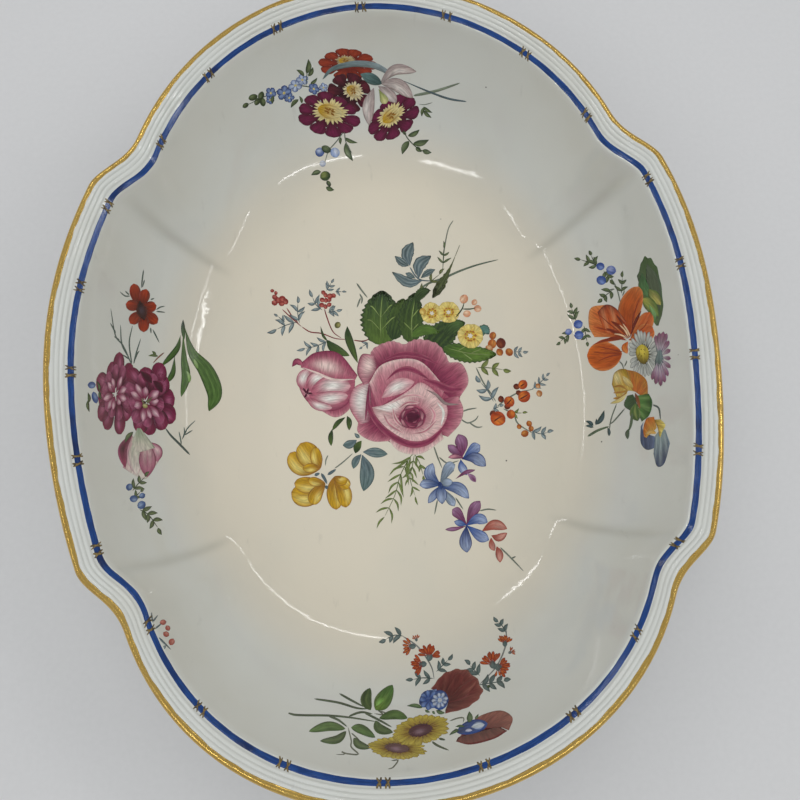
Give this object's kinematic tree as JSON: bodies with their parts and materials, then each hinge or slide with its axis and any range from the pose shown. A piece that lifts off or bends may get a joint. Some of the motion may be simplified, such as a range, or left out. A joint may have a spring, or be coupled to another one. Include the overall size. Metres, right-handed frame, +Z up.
{
  "type": "oval bowl",
  "caption": "Oval porcelain serving bowl with a lobed, reeded rim, gilt edge, blue band with gilt ties and a low foot ring, for holding and serving food.",
  "frame": {"origin": "middle of the foot ring's underside", "axes": "+Z up, +Y along the bowl's length, +X across its width"},
  "size_m": [0.26, 0.328, 0.08],
  "materials": {
    "glaze": "glossy creamy white glaze",
    "foot": "glazed ring with a bare ground edge",
    "gold": "burnished gilding, slightly worn",
    "cobalt": "glossy brushed blue enamel"
  },
  "bodies": {
    "root": {"porcelain_body": "glaze", "foot_ring": "foot", "rim_gilding": "gold", "blue_band": "cobalt", "gilt_tie_01": "gold", "gilt_tie_02": "gold", "gilt_tie_03": "gold", "gilt_tie_04": "gold", "gilt_tie_05": "gold", "gilt_tie_06": "gold", "gilt_tie_07": "gold", "gilt_tie_08": "gold", "gilt_tie_09": "gold", "gilt_tie_10": "gold", "gilt_tie_11": "gold", "gilt_tie_12": "gold", "gilt_tie_13": "gold", "gilt_tie_14": "gold", "gilt_tie_15": "gold", "gilt_tie_16": "gold", "gilt_tie_17": "gold", "gilt_tie_18": "gold", "gilt_tie_19": "gold", "gilt_tie_20": "gold", "gilt_tie_21": "gold", "gilt_tie_22": "gold", "gilt_tie_23": "gold", "gilt_tie_24": "gold"}
  },
  "joints": []
}
